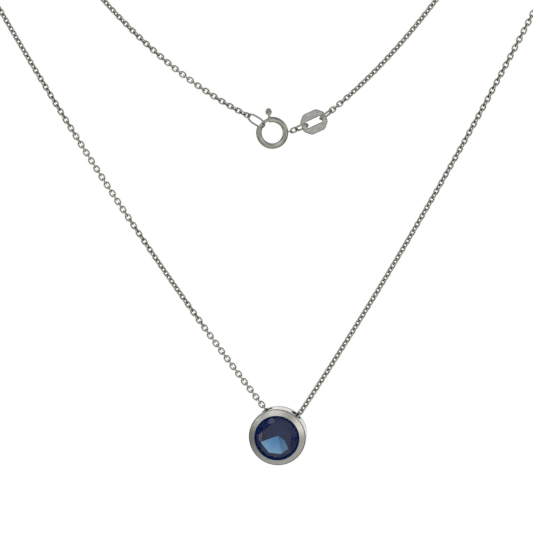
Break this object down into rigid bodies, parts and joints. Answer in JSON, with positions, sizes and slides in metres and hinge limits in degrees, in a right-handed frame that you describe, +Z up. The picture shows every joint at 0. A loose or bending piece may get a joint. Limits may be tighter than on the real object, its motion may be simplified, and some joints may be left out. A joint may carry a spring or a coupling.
{
  "type": "pendant necklace",
  "caption": "Fine oval-link chain necklace with a round bezel-set blue faceted stone floating on it, a spring ring clasp and a blank tag, shown hanging.",
  "frame": {"origin": "the point midway between the two supports the chain hangs over, level with their centres", "axes": "+Z up, X along the line between the supports with +X to the right seen from the front, the stone faces -Y"},
  "size_m": [0.1319, 0.0057, 0.1244],
  "materials": {
    "bright_metal": "polished",
    "satin_metal": "satin",
    "blue_stone": "polished"
  },
  "bodies": {
    "neck_loops": {"chain_loop_left": "bright_metal", "chain_loop_right": "bright_metal"},
    "front_upper": {"chain_front_left_upper": "bright_metal", "chain_front_right_upper": "bright_metal"},
    "front_middle": {"chain_front_left_middle": "bright_metal", "chain_front_right_middle": "bright_metal"},
    "front_lower": {"chain_front_left_lower": "bright_metal", "chain_through_bezel": "bright_metal", "chain_front_right_lower": "bright_metal"},
    "pendant": {"bezel": "satin_metal", "stone": "blue_stone"},
    "back_upper": {"chain_back_left_upper": "bright_metal", "chain_back_right_upper": "bright_metal"},
    "back_lower": {"chain_back_left_lower": "bright_metal", "chain_back_right_lower": "bright_metal", "end_ring": "bright_metal", "eye_link": "bright_metal", "jump_ring_inner": "bright_metal", "jump_ring_outer": "bright_metal"},
    "tag": {"tag": "satin_metal"},
    "clasp": {"clasp_tube": "bright_metal", "clasp_eye": "bright_metal"},
    "trigger": {"clasp_bolt": "bright_metal", "trigger_knob": "bright_metal"}
  },
  "joints": [
    {"name": "front_fold_upper", "type": "hinge", "parent": "neck_loops", "child": "front_upper", "pos_m": [0.00066, -0.00011, -0.028], "axis": [1, -0.0008, 0], "range_deg": [-20, 20]},
    {"name": "front_fold_middle", "type": "hinge", "parent": "front_upper", "child": "front_middle", "pos_m": [0.00152, -0.00024, -0.055], "axis": [1, -0.0023, 0], "range_deg": [-20, 20]},
    {"name": "front_fold_lower", "type": "hinge", "parent": "front_middle", "child": "front_lower", "pos_m": [0.00259, -0.00038, -0.082], "axis": [1, -0.0066, 0], "range_deg": [-20, 20]},
    {"name": "pendant_nod", "type": "hinge", "parent": "front_lower", "child": "pendant", "pos_m": [0.00341, -0.0006, -0.10833], "axis": [0.9828, -0.086, -0.1633], "range_deg": [-18, 18]},
    {"name": "back_fold_upper", "type": "hinge", "parent": "neck_loops", "child": "back_upper", "pos_m": [0.00046, 0, -0.016], "axis": [1, 0, 0], "range_deg": [-20, 20]},
    {"name": "back_fold_lower", "type": "hinge", "parent": "back_upper", "child": "back_lower", "pos_m": [0.00138, 0, -0.036], "axis": [1, 0, 0], "range_deg": [-20, 20]},
    {"name": "clasp_swing", "type": "hinge", "parent": "back_lower", "child": "clasp", "pos_m": [0.00254, 0.0001, -0.05814], "axis": [0.9593, 0.1348, -0.2481], "range_deg": [-15, 5]},
    {"name": "trigger_slide_round", "type": "hinge", "parent": "clasp", "child": "trigger", "pos_m": [0.0018, 0, -0.05904], "axis": [-0.1392, 0.9903, 0], "range_deg": [0, 45], "stiffness_Nm_per_rad": 0.002, "springref_deg": -28.65},
    {"name": "tag_turn", "type": "hinge", "parent": "back_lower", "child": "tag", "pos_m": [0.00912, 0, -0.05715], "axis": [0.9063, 0, 0.4226], "range_deg": [-20, 20]}
  ]
}
